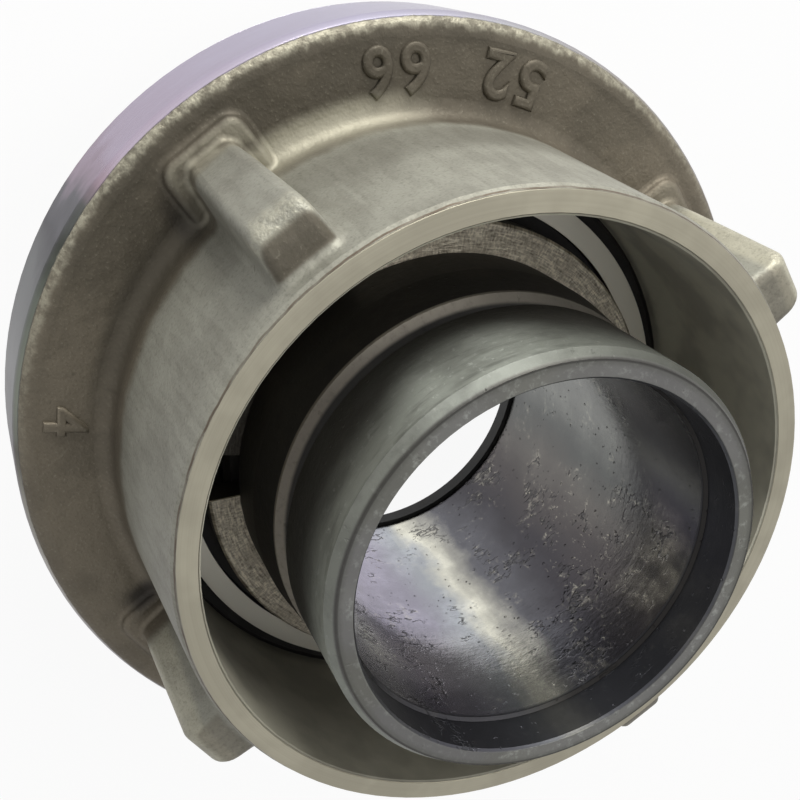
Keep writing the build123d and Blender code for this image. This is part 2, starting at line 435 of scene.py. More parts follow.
@dataclass(frozen=True)
class CastingZones(Zones):
    """Masks that are 1 on one surface of the casting and 0 on the others.

    Args:
        sizes: Where one surface ends and the next begins.
        wave: Field about 0 that makes borders wavy; 0 leaves them straight.
        ragged: Field about 0 that makes borders ragged; 0 leaves them straight.
        uneven: Field about 0 that moves the brown stain's border.
    """

    sizes: CastingSizes
    wave: Input = 0.0
    ragged: Input = 0.0
    uneven: Input = 0.0

    @cached_property
    def band(self) -> Field:
        """The bright turned band around the flange."""
        low, high = self.sizes.front + 0.7, self.sizes.band_top
        start = self.sizes.band_radius
        around = (self.r + self.ragged * 0.25).rise(start, start + 0.08)
        return around * (self.z + self.ragged * 0.5).band(low, high, 0.08)

    @cached_property
    def face(self) -> Field:
        """The turned end face of the skirt."""
        return (self.z + self.wave * 0.16).rise(self.sizes.end - 0.16, self.sizes.end - 0.1)

    @cached_property
    def face_line(self) -> Field:
        """The wavy line where the end face meets the cast skin."""
        line = (self.z + self.wave * 0.42).band(self.sizes.end - 0.42, self.sizes.end - 0.18, 0.05)
        return line * self.r.rise(self.sizes.end_edge, self.sizes.end_edge + 0.3)

    @cached_property
    def inner(self) -> Field:
        """The inner wall of the skirt and of the relief groove."""
        sizes = self.sizes
        groove = self.r.rise(sizes.relief - 0.25, sizes.relief - 0.1)
        groove = groove * self.z.rise(sizes.relief_floor - 0.1, sizes.relief_floor + 0.2)
        wall = groove.highest(self.z.rise(sizes.shoulder + 0.4, sizes.shoulder + 0.8))
        return wall * self.r.rise(sizes.inner_radius + 0.3, sizes.inner_radius) * (1.0 - self.face)

    @cached_property
    def shoulder(self) -> Field:
        """The polished shoulder around the retaining ring."""
        level = self.z.band(self.sizes.shoulder - 0.15, self.sizes.shoulder + 0.3, 0.05)
        return self.r.band(self.sizes.pocket_radius, self.sizes.shoulder_radius, 0.06) * level

    @cached_property
    def deep(self) -> Field:
        """The grooves on both sides of the shoulder, where shade and soiling are painted near black."""
        sizes = self.sizes
        floor = self.z.rise(sizes.relief_floor + 1.1, sizes.relief_floor + 0.7)
        floor = floor * self.r.rise(sizes.inner_radius, sizes.inner_radius - 0.3)
        groove = self.r.rise(sizes.relief - 0.1, sizes.relief - 0.25).highest(floor)
        groove = groove * self.z.rise(sizes.shoulder + 0.3, sizes.shoulder - 0.1)
        return groove * self.z.rise(sizes.back, sizes.back + 0.6) * (1.0 - self.shoulder)

    @cached_property
    def turned(self) -> Field:
        """All plain turned faces."""
        sizes = self.sizes
        front = self.z.rise(sizes.front + 0.75, sizes.front + 0.6)
        front = front * self.z.rise(sizes.front - 0.5, sizes.front - 0.2)
        below = self.r.rise(sizes.web_radius + 0.3, sizes.web_radius)
        below = below * self.z.rise(sizes.web + 0.6, sizes.web)
        return self.face.highest(self.shoulder).highest(front).highest(below * 0.8)

    @cached_property
    def cut(self) -> Field:
        """All surfaces that a tool has cut."""
        return self.turned.highest(self.band).highest(self.inner * 0.7)

    @cached_property
    def flange(self) -> Field:
        """The browned flange; its stain climbs highest on one side of the skirt."""
        sizes = self.sizes
        stain = self.g.toward(52.0, 80.0) * 2.2 + self.wave * 2.2 - self.uneven * 1.6
        outside = self.r.rise(sizes.skirt - 0.3, sizes.skirt + 0.3)
        outside = outside * self.z.rise(sizes.front - 0.6, sizes.front)
        return outside * (self.z - stain).rise(sizes.back + 4.7, sizes.back + 1.6)

    @cached_property
    def corner(self) -> Field:
        """The fillet between skirt and flange."""
        around = self.r.band(self.sizes.skirt, self.sizes.foot, 0.9)
        return around * self.z.rise(self.sizes.back + 5.0, self.sizes.back + 0.9)

    @cached_property
    def root(self) -> Field:
        """The corners beside two of the lugs, where shade and soiling are painted."""
        beside = (self.g.x.size().lowest(self.g.y.size()) / MM).band(4.9, 7.6, 0.9)
        low = self.z.rise(self.sizes.back + 6.5, self.sizes.back + 1.5)
        dirty = self.g.toward(28.0, 28.0).highest(self.g.toward(82.0, 14.0))
        return beside * self.r.band(self.sizes.skirt + 0.5, self.sizes.foot + 1.6, 1.6) * low * dirty

    @cached_property
    def lug(self) -> Field:
        """The sides of the lugs."""
        outside = self.r.rise(self.sizes.lug_radius - 0.6, self.sizes.lug_radius + 0.6)
        return outside * self.z.rise(self.sizes.back + 4.0, self.sizes.back + 7.0)

    @cached_property
    def lug_face(self) -> Field:
        """The flat ends of the lugs."""
        outside = self.r.rise(self.sizes.skirt - 0.4, self.sizes.skirt + 0.2)
        return outside * self.z.rise(self.sizes.lug_end - 0.7, self.sizes.lug_end - 0.2)

    @cached_property
    def lug_nose(self) -> Field:
        """The knocked outer edge below a lug's end, which also gets a painted highlight."""
        outside = self.r.rise(self.sizes.lug_radius, self.sizes.lug_radius + 1.2)
        near = self.z.rise(self.sizes.lug_end - 4.2, self.sizes.lug_end - 2.6)
        return outside * near * (1.0 - self.lug_face)

    @cached_property
    def lug_pad(self) -> Field:
        """The low feet around the lugs."""
        level = self.z.rise(self.sizes.lug_foot, self.sizes.lug_foot + 0.7)
        return level * self.r.rise(self.sizes.lug_radius + 1.0, self.sizes.lug_radius + 2.5) * self.flange

    @cached_property
    def lip(self) -> Field:
        """The rounded edge of the flange's back, where a highlight is painted."""
        edge = self.sizes.edge_radius
        outer = (self.r + self.ragged * 1.8).rise(edge, edge + 0.8)
        return outer * self.z.rise(self.sizes.back - 1.4, self.sizes.back - 1.0)

    @cached_property
    def strip(self) -> Field:
        """The darker strip just inside the flange's rounded edge."""
        edge = self.sizes.edge_radius
        return (self.r + self.ragged * 1.2).band(edge - 1.2, edge + 0.2, 0.5) * self.flange

    @cached_property
    def low_skirt(self) -> Field:
        """The darker lower part of the skirt on the side away from the stain, where shade is painted."""
        level = self.z.band(self.sizes.back + 5.0, self.sizes.back + 14.0, 2.5)
        return level * self.g.toward(-30.0, 52.0) * (1.0 - self.flange)

    def beside(self, lug: Lug) -> Field:
        """Returns 1 at a lug and 0 away from it."""
        return self.g.toward(lug.value, 30.0)


@dataclass(frozen=True)
class CastingFinish:
    """Blasted casting with a bright turned rim and plain turned faces.

    Args:
        skirt: Colour of the blasted skirt.
        flange: Colour of the blasted flange, which handling has browned.
        hollow_and_shade: Colour of the soiling in corners and at the bottom of the grain, and of painted
            shade.
        highlight_and_peak: Colour of the top of the grain, and of painted highlights on edges, fillets
            and lugs.
        turned: Colour of turned faces.
        shoulder: Colour of the polished shoulder inside the skirt.
        inside: Colour of the skirt's inner wall, pale to stand in for the light that falls on it.
        groove: Colour of the painted shade and soiling in grooves and corners.
        line: Colour of the wavy line where the turned face meets the cast skin.
        glance: Tint of the metal's gloss where it is seen edge on.
        rim: Colours of the bright band, painted reflections that change around it, and the azimuths where
            they stand.
    """

    skirt: Colour = (0.330, 0.326, 0.275)
    flange: Colour = (0.180, 0.156, 0.116)
    hollow_and_shade: Colour = (0.075, 0.066, 0.048)
    highlight_and_peak: Colour = (0.560, 0.535, 0.420)
    turned: Colour = (0.390, 0.365, 0.285)
    shoulder: Colour = (0.980, 0.945, 0.830)
    # pale, to stand in for the light on the skirt's inner wall
    inside: Colour = (0.950, 0.920, 0.760)
    groove: Colour = (0.016, 0.014, 0.012)
    line: Colour = (0.110, 0.080, 0.055)
    glance: Colour = (0.700, 0.680, 0.740)
    # painted reflections around the turned band, by azimuth
    rim: tuple[tuple[float, Colour], ...] = (
        (-180.0, (0.42, 0.41, 0.40)),
        (-110.0, (0.34, 0.33, 0.31)),
        (-72.0, (0.42, 0.39, 0.31)),
        (-50.0, (0.60, 0.60, 0.62)),
        (-30.0, (0.64, 0.61, 0.75)),
        (-10.0, (0.57, 0.52, 0.63)),
        (6.0, (0.51, 0.43, 0.52)),
        (12.0, (0.38, 0.29, 0.34)),
        (17.0, (0.12, 0.125, 0.12)),
        (23.0, (0.06, 0.065, 0.055)),
        (30.0, (0.14, 0.155, 0.13)),
        (44.0, (0.20, 0.215, 0.18)),
        (52.0, (0.12, 0.12, 0.10)),
        (70.0, (0.38, 0.37, 0.32)),
        (110.0, (0.30, 0.29, 0.27)),
        (180.0, (0.42, 0.41, 0.40)),
    )

    def material(self, sizes: CastingSizes) -> bpy.types.Material:
        """Makes the material.

        Args:
            sizes: Where one surface ends and the next begins.

        Returns:
            The material.
        """
        g = Graph("ring_casting")
        marks = CastingMarks(g)
        zones = CastingZones(g, sizes, marks.wave, marks.ragged, marks.lumps - 0.5)
        bright = self._bright(g, marks)
        tone = bright.lowest(1.0)
        colour = g.mix(zones.turned, self._skin(g, zones, marks), self._metal(g, zones, marks))
        colour = g.mix(zones.inner, colour, self._wall(g, marks))
        colour = g.mix(zones.band, colour, bright)
        # painted shade and soiling, near black, in the grooves beside the shoulder
        colour = g.mix(zones.deep * 0.95, colour, self.groove)
        colour = g.mix(zones.face_line * (0.45 + marks.patchy * 0.45), colour, self.line)

        metallic = g.blend(zones.turned, 0.45, 0.70).highest(zones.band * 0.95)
        metallic = metallic * (1.0 - zones.deep * 0.95)
        metallic = metallic * (1.0 - zones.inner) * (1.0 - zones.shoulder * 0.3)
        roughness = g.blend(zones.turned, 0.56, 0.40) * (1.0 - zones.band * (0.30 + tone * 0.6))
        return g.finish(
            {
                "Base Color": colour,
                "Metallic": metallic,
                "Roughness": roughness + zones.shoulder * 0.06,
                "Specular Tint": g.colour(self.glance),
                "Normal": g.bump(self._height(g, sizes, marks)),
            }
        )

    def _skin(self, g: Graph, zones: CastingZones, marks: CastingMarks) -> Field:
        """Returns the colour of the cast skin, with its painted highlights and shade.

        Args:
            g: The casting's graph.
            zones: Its surfaces.
            marks: Its grain and stains.

        Returns:
            The colour field.
        """
        # one lug gets the deepest painted shade on its end and the strongest painted highlight on its
        # nose
        wear_and_light, crumple = zones.beside(Lug.LIT_AND_SHADED), marks.crumple
        # painted highlights on the sides of two lugs
        pale = zones.beside(Lug.BRIGHT) * 0.75 + zones.beside(Lug.DULL) * 0.62
        darkened = g.toward(-20.0, 62.0) * 0.60 + marks.clouds.rise(0.52, 0.36) * 0.22
        lit = g.toward(-22.0, 88.0)
        streaked = marks.drawn.rise(0.56, 0.36) * (1.0 - zones.flange)

        skin = g.mix(zones.flange, self.skirt, self.flange)
        skin = g.mix(zones.lug * pale, skin, self.highlight_and_peak)
        skin = g.mix(zones.lug_face * (0.45 + wear_and_light * 0.35), skin, self.flange)
        # painted shade on the lugs' ends, deepest at one lug
        skin = g.mix(zones.lug_face * (0.15 + wear_and_light * 0.42), skin, self.hollow_and_shade)
        # darker on one side of the flange, with random clouds
        skin = g.mix(zones.flange * darkened, skin, self.hollow_and_shade)
        skin = g.mix(marks.clouds.rise(0.60, 0.34) * 0.20, skin, self.hollow_and_shade)
        # painted shade on the lower skirt
        skin = g.mix(zones.low_skirt * 0.34, skin, self.hollow_and_shade)
        skin = g.mix(streaked * 0.16, skin, self.hollow_and_shade)
        skin = g.mix(marks.grain.rise(0.50, 0.28) * 0.26, skin, self.hollow_and_shade)
        skin = g.mix(marks.grain.rise(0.58, 0.76) * 0.14, skin, self.highlight_and_peak)
        # painted shade and soiling in the fillet at the skirt's foot, deepest on one side
        skin = g.mix(zones.corner * (0.10 + g.toward(14.0, 42.0) * 0.75), skin, self.hollow_and_shade)
        # painted highlight on the same fillet, on one side
        skin = g.mix(zones.corner * g.toward(-14.0, 26.0) * 0.55, skin, self.highlight_and_peak)
        # painted shade and soiling in the corners beside two lugs
        skin = g.mix(zones.root * 0.85, skin, self.groove)
        # darker strip inside the flange's edge, on the lit side
        skin = g.mix(zones.strip * 0.45 * lit, skin, self.hollow_and_shade)
        # painted highlight along the flange's rounded edge, brightest on the lit side
        skin = g.mix(zones.lip * lit * (0.20 + crumple.rise(0.36, 0.66) * 0.50), skin, self.highlight_and_peak)
        # painted highlight on the lugs' knocked noses, strongest at one lug
        battered_and_lit = 0.04 + wear_and_light * crumple.rise(0.38, 0.62) * 0.28
        skin = g.mix(zones.lug_nose * battered_and_lit, skin, self.highlight_and_peak)
        # painted highlight on the lugs' feet, on the lit side
        skin = g.mix(zones.lug_pad * lit * (0.10 + marks.patchy * 0.34), skin, self.highlight_and_peak)
        return g.mix(marks.pits * 0.45, skin, self.hollow_and_shade)

    def _metal(self, g: Graph, zones: CastingZones, marks: CastingMarks) -> Field:
        """Returns the colour of turned faces.

        Args:
            g: The casting's graph.
            zones: Its surfaces.
            marks: Its stains and tool marks.

        Returns:
            The colour field.
        """
        metal = g.mix(marks.wear_and_light * 0.08, self.turned, self.hollow_and_shade)
        metal = g.mix(marks.clouds.rise(0.60, 0.40) * 0.16, metal, self.hollow_and_shade)
        return g.mix(zones.shoulder, metal, self.shoulder)

    def _wall(self, g: Graph, marks: CastingMarks) -> Field:
        """Returns the colour of the skirt's inner wall: pale for painted light, and darker on one side.
        """
        wall = g.mix(marks.clouds.rise(0.62, 0.36) * 0.30, self.inside, self.hollow_and_shade)
        # darker on one side of the inner wall
        return g.mix(g.toward(115.0, 85.0) * 0.56, wall, self.hollow_and_shade)

    def _bright(self, g: Graph, marks: CastingMarks) -> Field:
        """Returns the colour of the bright band around the flange, with its painted reflections."""
        bright = g.sides(-180.0, self.rim, marks.reflection_drift * 0.05)
        return g.mix(marks.wear_and_light * 0.10, bright, self.hollow_and_shade)

    def _height(self, g: Graph, sizes: CastingSizes, marks: CastingMarks) -> Field:
        """Returns how far grain, dents and tool marks stand out, in millimetres.

        Args:
            g: The casting's graph.
            sizes: Where one surface ends and the next begins.
            marks: Its grain and tool marks.

        Returns:
            The height field.
        """
        plain = CastingZones(g, sizes)
        skin = marks.grain * 0.045 + marks.lumps * 0.17 + marks.clouds * 0.30
        skin = skin + (plain.lip + plain.lug_nose * 0.9) * marks.crumple * 0.22
        return g.blend(plain.cut, skin, marks.lathe * 0.007 * (1.0 - plain.shoulder))


@dataclass(frozen=True)
class TailSizes:
    """Heights and radii that part the hose tail's surfaces, in millimetres.

    Args:
        end: Height of the mouth.
        mouth: Depth of the wider mouth.
        face: Outer radius of the mouth's flat face.
        bore: Radius of the bore.
        skirt: Height of the locking ring's end, below which shade is painted on the seat.
        seat: Height where the hose seat begins.
        rib: Height of the rib's crest.
        rib_end: Height where the rib's upper side meets the valley.
        collar: Height of the collar's back.
    """

    end: float = 64.2
    mouth: float = 5.0
    face: float = 23.5
    bore: float = 21.6
    skirt: float = 54.0
    seat: float = 49.9
    rib: float = 46.3
    rib_end: float = 47.5
    collar: float = 20.7


class TailMarks:
    """Fields that the tail's finish is mixed from: streaks, stains, dents and cracks."""

    def __init__(self, g: Graph) -> None:
        """Makes the fields.

        Args:
            g: The tail's graph.
        """
        self.streaks = g.noise(1.0, 4.0, 0.6, g.wrapped(24.0, 0.9, 5.5))
        self.patches = g.noise(1.0, 4.0, 0.55, g.wrapped(24.0, 4.0, 7.0))
        self.broad = g.noise(13.0, 2.0, 0.5)
        self.stains = g.noise(4.5, 4.0, 0.6)
        self.tint = g.noise(19.0, 1.0, 0.5)
        self.fine = g.noise(0.30, 2.0, 0.6)
        self.rough = g.noise(0.9, 4.0, 0.65)
        self.drift = g.noise(1.0, 4.0, 0.6, g.wrapped(21.0, 11.0, 6.0)) - 0.5
        dots = g.cells(1.0, g.wrapped(21.0, 1.1, 1.0))
        self.dents = dots.rise(0.22, 0.10) * self.rough.rise(0.50, 0.62)
        veins = (g.noise(1.0, 3.0, 0.65, g.wrapped(21.0, 2.2, 3.6)) - 0.5).size()
        threads = (g.noise(1.0, 3.0, 0.65, g.wrapped(21.0, 3.4, 1.6)) - 0.5).size()
        dashes = g.cells(1.0, g.wrapped(21.0, 0.62, 2.1))
        self.cloudy = self.broad * 0.5 + self.stains * 0.5
        pitted = self.cloudy.rise(0.49, 0.57)
        self.cracks = veins.rise(0.030, 0.010) * pitted * self.stains.rise(0.50, 0.58)
        self.scores = threads.rise(0.022, 0.006) * pitted * self.rough.rise(0.52, 0.60)
        self.nicks = dashes.rise(0.54, 0.68) * self.rough.rise(0.48, 0.38) * pitted


@dataclass(frozen=True)
class TailZones(Zones):
    """Masks that are 1 on one surface of the tail and 0 on the others.

    Args:
        sizes: Where one surface ends and the next begins.
    """

    sizes: TailSizes

    @cached_property
    def inside(self) -> Field:
        """The bore and the mouth."""
        return self.r.rise(self.sizes.bore + 0.25, self.sizes.bore + 0.05)

    @cached_property
    def mouth(self) -> Field:
        """The dark band inside the mouth."""
        foot = self.sizes.end - self.sizes.mouth
        return self.inside * self.z.rise(foot - 1.0, foot - 0.4)

    @cached_property
    def step(self) -> Field:
        """The small step between bore and mouth."""
        foot = self.sizes.end - self.sizes.mouth
        return self.z.band(foot - 0.45, foot + 0.05, 0.06)

    @cached_property
    def rim(self) -> Field:
        """The mouth's flat face and its rounded edge."""
        level = self.z.rise(self.sizes.end - 0.5, self.sizes.end - 0.1)
        return self.r.rise(self.sizes.bore, self.sizes.bore + 0.3) * level

    @cached_property
    def rim_line(self) -> Field:
        """The dark line in the crease around the mouth's flat face, where shade is painted."""
        level = self.z.rise(self.sizes.end - 0.5, self.sizes.end - 0.3)
        return self.r.band(self.sizes.face - 0.22, self.sizes.face + 0.12, 0.10) * level

    @cached_property
    def cone(self) -> Field:
        """The bevel between the hose seat and the mouth's face."""
        return self.z.rise(self.sizes.end - 1.6, self.sizes.end - 1.2)

    @cached_property
    def seat(self) -> Field:
        """The hose seat."""
        return self.z.rise(self.sizes.seat - 0.2, self.sizes.seat + 0.8) * (1.0 - self.inside)

    @cached_property
    def rib(self) -> Field:
        """The rib below the hose seat."""
        level = self.z.band(self.sizes.rib - 0.4, self.sizes.rib_end - 0.55, 0.15)
        return level * (1.0 - self.inside)

    @cached_property
    def front(self) -> Field:
        """The collar at the tail's front."""
        return self.z.rise(self.sizes.collar + 0.7, self.sizes.collar - 0.3)

    @cached_property
    def neck(self) -> Field:
        """The neck between collar and hose seat, where shade is painted."""
        return (1.0 - self.seat) * (1.0 - self.inside) * (1.0 - self.front)


@dataclass(frozen=True)
class TailFinish:
    """Worn turned tail: streaked seat, neck painted near black for shade, and a stained, polished bore.

    Args:
        seat: Colour of the hose seat's unstained metal.
        seat_dark: Colour of its stains.
        scuff: Colour of light scuffs and of edges that wear has lightened.
        deep_shade: Colour of the painted shade on the neck, low on the seat and in creases.
        thinner_shade: Colour where that painted shade is thinner.
        rib: Colour of the rib.
        rim: Colour of the mouth's rounded edge.
        rim_dull: Colour of its dull stretches.
        rim_blue: Colour of its faint blue stretches.
        collar: Colour of the collar's front.
        shade: Painted light and shade on the hose seat and the rib, by azimuth.
        bore: Colours of the bore by azimuth: painted reflections and shade, with long stains.
        stain: Colour of the pits in the bore, also painted as dark reflections on it.
        bare_and_highlight: Colour of unstained metal in the bore's scores, also painted as bright
            reflections on it.
        mouth: Colour of the dark band inside the mouth.
    """

    seat: Colour = (0.430, 0.455, 0.410)
    seat_dark: Colour = (0.085, 0.085, 0.075)
    scuff: Colour = (0.700, 0.730, 0.680)
    deep_shade: Colour = (0.017, 0.015, 0.013)
    thinner_shade: Colour = (0.045, 0.038, 0.030)
    rib: Colour = (0.460, 0.420, 0.360)
    rim: Colour = (0.160, 0.160, 0.142)
    rim_dull: Colour = (0.100, 0.098, 0.090)
    rim_blue: Colour = (0.260, 0.250, 0.320)
    collar: Colour = (0.340, 0.330, 0.290)
    shade: tuple[tuple[float, Colour], ...] = (
        (-180.0, (0.55, 0.55, 0.55)),
        (-100.0, (0.20, 0.20, 0.20)),
        (-72.0, (0.16, 0.16, 0.15)),
        (-48.0, (0.28, 0.28, 0.27)),
        (-30.0, (0.52, 0.52, 0.51)),
        (-15.0, (0.95, 0.95, 0.95)),
        (0.0, (1.00, 1.00, 1.00)),
        (18.0, (0.64, 0.63, 0.62)),
        (40.0, (0.62, 0.61, 0.60)),
        (80.0, (0.88, 0.88, 0.88)),
        (180.0, (0.55, 0.55, 0.55)),
    )
    # painted reflections and shade around the bore, with long stains; the brightest stop is a painted
    # highlight
    bore: tuple[tuple[float, Colour], ...] = (
        (0.0, (0.26, 0.26, 0.26)),
        (82.0, (0.36, 0.35, 0.32)),
        (100.0, (0.41, 0.40, 0.39)),
        (118.0, (0.40, 0.37, 0.47)),
        (136.0, (0.44, 0.42, 0.51)),
        (148.0, (0.54, 0.57, 0.61)),
        (155.0, (1.00, 0.98, 0.84)),
        (161.0, (0.52, 0.51, 0.46)),
        (169.0, (0.16, 0.16, 0.18)),
        (186.0, (0.07, 0.066, 0.075)),
        (202.0, (0.11, 0.10, 0.10)),
        (214.0, (0.17, 0.16, 0.15)),
        (228.0, (0.14, 0.145, 0.14)),
        (242.0, (0.24, 0.245, 0.23)),
        (256.0, (0.22, 0.225, 0.21)),
        (285.0, (0.24, 0.24, 0.23)),
        (360.0, (0.26, 0.26, 0.26)),
    )
    stain: Colour = (0.080, 0.078, 0.082)
    bare_and_highlight: Colour = (0.800, 0.760, 0.640)
    mouth: Colour = (0.060, 0.062, 0.070)

    def material(self, sizes: TailSizes) -> bpy.types.Material:
        """Makes the material.

        Args:
            sizes: Where one surface ends and the next begins.

        Returns:
            The material.
        """
        g = Graph("tail_turned")
        marks = TailMarks(g)
        zones = TailZones(g, sizes)
        # painted light and shade on the hose seat and rib, by azimuth
        shade = g.sides(-180.0, self.shade, marks.streaks * 0.02)
        outer = g.mix(zones.seat, self._neck(g, zones, marks, shade), self._seat(g, zones, marks, shade))
        outer = g.mix(zones.rim, outer, self._rim(g, zones, marks))
        # painted shade in the crease around the mouth's face
        outer = g.mix(zones.rim_line * 0.65, outer, self.deep_shade)
        outer = g.mix(zones.front * 0.8, outer, self.collar)
        colour = g.mix(zones.inside * (1.0 - zones.rim), outer, self._wall(g, zones, marks))

        bevel = zones.cone * (1.0 - zones.inside) * (1.0 - zones.rim)
        roughness = g.blend(zones.inside, 0.42, 0.15) + marks.rough * 0.14 + zones.neck * 0.1
        height = marks.streaks * 0.020 + marks.fine * 0.010 + marks.rough * 0.050 - marks.dents * 0.06
        height = height - zones.inside * marks.rough * 0.040
        height = height + zones.inside * (marks.stains * 0.04 - marks.cracks * 0.05)
        return g.finish(
            {
                "Base Color": colour,
                "Metallic": g.blend(zones.inside, 0.62, 0.95) - zones.neck * 0.32,
                "Roughness": roughness + zones.mouth * 0.2 + bevel * 0.2,
                "Normal": g.bump(height),
            }
        )

    def _seat(self, g: Graph, zones: TailZones, marks: TailMarks, shade: Field) -> Field:
        """Returns the colour of the hose seat, with painted shade low down near the locking ring.

        Args:
            g: The tail's graph.
            zones: Its surfaces.
            marks: Its streaks and stains.
            shade: Painted light and shade around the axis.

        Returns:
            The colour field.
        """
        seat_tone = g.mix(marks.patches.rise(0.42, 0.70) * 0.45, self.seat, self.seat_dark)
        seat_tone = g.mix(marks.streaks.rise(0.48, 0.72) * 0.40, seat_tone, self.seat_dark)
        seat_tone = g.mix(marks.rough.rise(0.56, 0.72) * 0.35, seat_tone, self.scuff)
        # painted light and shade multiplied in by azimuth
        seat_tone = g.mix(1.0, seat_tone, shade, Mode.MULTIPLY)
        seat_tone = g.mix(zones.cone * 0.35, seat_tone, self.seat_dark)
        # painted shade low on the hose seat near the locking ring's end, ending lower on two sides
        less_shaded = g.toward(-16.0, 26.0) * 3.2 + g.toward(96.0, 34.0) * 4.0
        level = zones.z + less_shaded + (marks.streaks - 0.5) * 2.0
        seat_shade = level.rise(zones.sizes.skirt + 9.0, zones.sizes.skirt + 0.6)
        return g.mix(seat_shade * 0.94, seat_tone, self.deep_shade)

    def _rim(self, g: Graph, zones: TailZones, marks: TailMarks) -> Field:
        """Returns the colour of the mouth's face, dented and dark towards its edge.

        Args:
            g: The tail's graph.
            zones: Its surfaces.
            marks: Its stains and dents.

        Returns:
            The colour field.
        """
        border = (zones.r + marks.rough * 0.8).rise(zones.sizes.face - 0.5, zones.sizes.face + 0.1)
        rim = g.mix(marks.rough.rise(0.50, 0.72) * 0.25, self.rim, self.scuff)
        rim = g.mix(marks.broad.rise(0.40, 0.62) * 0.55, rim, self.rim_dull)
        rim = g.mix(marks.tint.rise(0.48, 0.60) * 0.12, rim, self.rim_blue)
        rim = g.mix(marks.dents * 0.5, rim, self.seat_dark)
        return g.mix(border * 0.5, rim, self.seat_dark)

    def _neck(self, g: Graph, zones: TailZones, marks: TailMarks, shade: Field) -> Field:
        """Returns the colour of the neck, painted near black for shade, with its lighter rib.

        Args:
            g: The tail's graph.
            zones: Its surfaces.
            marks: Its stains.
            shade: Painted light and shade around the axis.

        Returns:
            The colour field.
        """
        # painted shade, near black, on the neck inside the locking ring
        shaded_dark = g.mix(marks.patches.rise(0.45, 0.75) * 0.4, self.deep_shade, self.thinner_shade)
        # the rib's colour with painted shade by azimuth
        rib_shaded = g.mix(1.0, self.rib, shade, Mode.MULTIPLY)
        return g.mix(zones.rib * marks.rough.rise(-0.2, 0.55) * 0.95, shaded_dark, rib_shaded)

    def _wall(self, g: Graph, zones: TailZones, marks: TailMarks) -> Field:
        """Returns the colour of the bore: painted reflections and shade, long stains, cracks, scores and
        a dark mouth.

        Args:
            g: The tail's graph.
            zones: Its surfaces.
            marks: Its stains and cracks.

        Returns:
            The colour field.
        """
        z, end = zones.z, zones.sizes.end
        # near_mouth and far_side carry painted dark reflections, middle and patch painted bright ones
        near_mouth = z.rise(end - 14.0, end - 8.0) * g.toward(130.0, 32.0)
        middle = z.band(end - 21.2, end - 11.2, 4.0) * g.toward(122.0, 40.0)
        patch = z.rise(end - 18.2, end - 9.2) * g.toward(217.0, 24.0) * marks.stains.rise(0.36, 0.62)
        far_side = z.rise(end - 27.0, end - 15.0) * g.toward(245.0, 50.0)
        # painted reflections and shade around the bore, by azimuth
        wall = g.sides(0.0, self.bore, marks.drift * 0.060)
        wall = g.mix(near_mouth * 0.55, wall, self.stain)
        wall = g.mix(middle * 0.24, wall, self.bare_and_highlight)
        wall = g.mix(patch * 0.42, wall, self.bare_and_highlight)
        wall = g.mix(far_side * 0.55, wall, self.stain)
        wall = g.mix(marks.cloudy.rise(0.58, 0.40) * 0.28, wall, self.stain)
        speckled = (marks.stains * 0.6 + marks.rough * 0.4).rise(0.54, 0.70)
        wall = g.mix(speckled * 0.26, wall, self.bare_and_highlight)
        wall = g.mix(marks.scores * 0.30, wall, self.bare_and_highlight)
        wall = g.mix(marks.cracks.highest(marks.nicks * 0.5) * 0.75, wall, self.stain)
        wall = g.mix(zones.mouth * 0.85, wall, self.mouth)
        # painted shade on the step between bore and mouth, lighter on one side
        return g.mix(zones.step * (0.85 - g.toward(118.0, 50.0) * 0.35), wall, self.deep_shade)


@dataclass(frozen=True)
class RetainerFinish:
    """Brown-stained split ring with fine turned lines crossed by chatter marks.

    Args:
        top: Height of the ring's face, in millimetres.
        bright: Colour on the crests of the marks.
        stain: Colour of the stain between them.
        dirt_and_shade: Colour of the soiling in the deepest marks, and of the painted shade on the ring's
            sides and on one stretch.
        shaded_side: Azimuth of the stretch where near-black shade is painted.
    """

    top: float = 33.1
    bright: Colour = (0.900, 0.830, 0.680)
    stain: Colour = (0.430, 0.380, 0.300)
    dirt_and_shade: Colour = (0.030, 0.025, 0.019)
    shaded_side: float = 22.0

    def material(self) -> bpy.types.Material:
        """Makes the material."""
        g = Graph("retainer_turned")
        lines = g.noise(1.0, 2.0, 0.6, g.wrapped(27.0, 0.24, 1.6))
        chatter = g.noise(1.0, 2.0, 0.6, g.wrapped(27.0, 0.60, 0.26))
        patches = g.noise(3.2, 3.0, 0.6)
        marks = lines * 0.55 + chatter * 0.45
        colour = g.mix(marks.rise(0.40, 0.64), self.stain, self.bright)
        colour = g.mix(patches.rise(0.46, 0.68) * 0.45, colour, self.stain)
        colour = g.mix(marks.rise(0.42, 0.34) * 0.45, colour, self.dirt_and_shade)
        # painted shade on the ring's sides below its face
        below = (g.z / MM).rise(self.top - 0.25, self.top - 0.35)
        colour = g.mix(below, colour, self.dirt_and_shade)
        # painted shade, near black, over one stretch of the ring
        shaded_dark = g.toward(self.shaded_side, 34.0).rise(0.0, 0.25)
        colour = g.mix(shaded_dark * 0.96, colour, self.dirt_and_shade)
        return g.finish(
            {
                "Base Color": colour,
                "Metallic": 0.35,
                "Roughness": 0.45 + patches * 0.16,
                "Normal": g.bump(marks * 0.14),
            }
        )


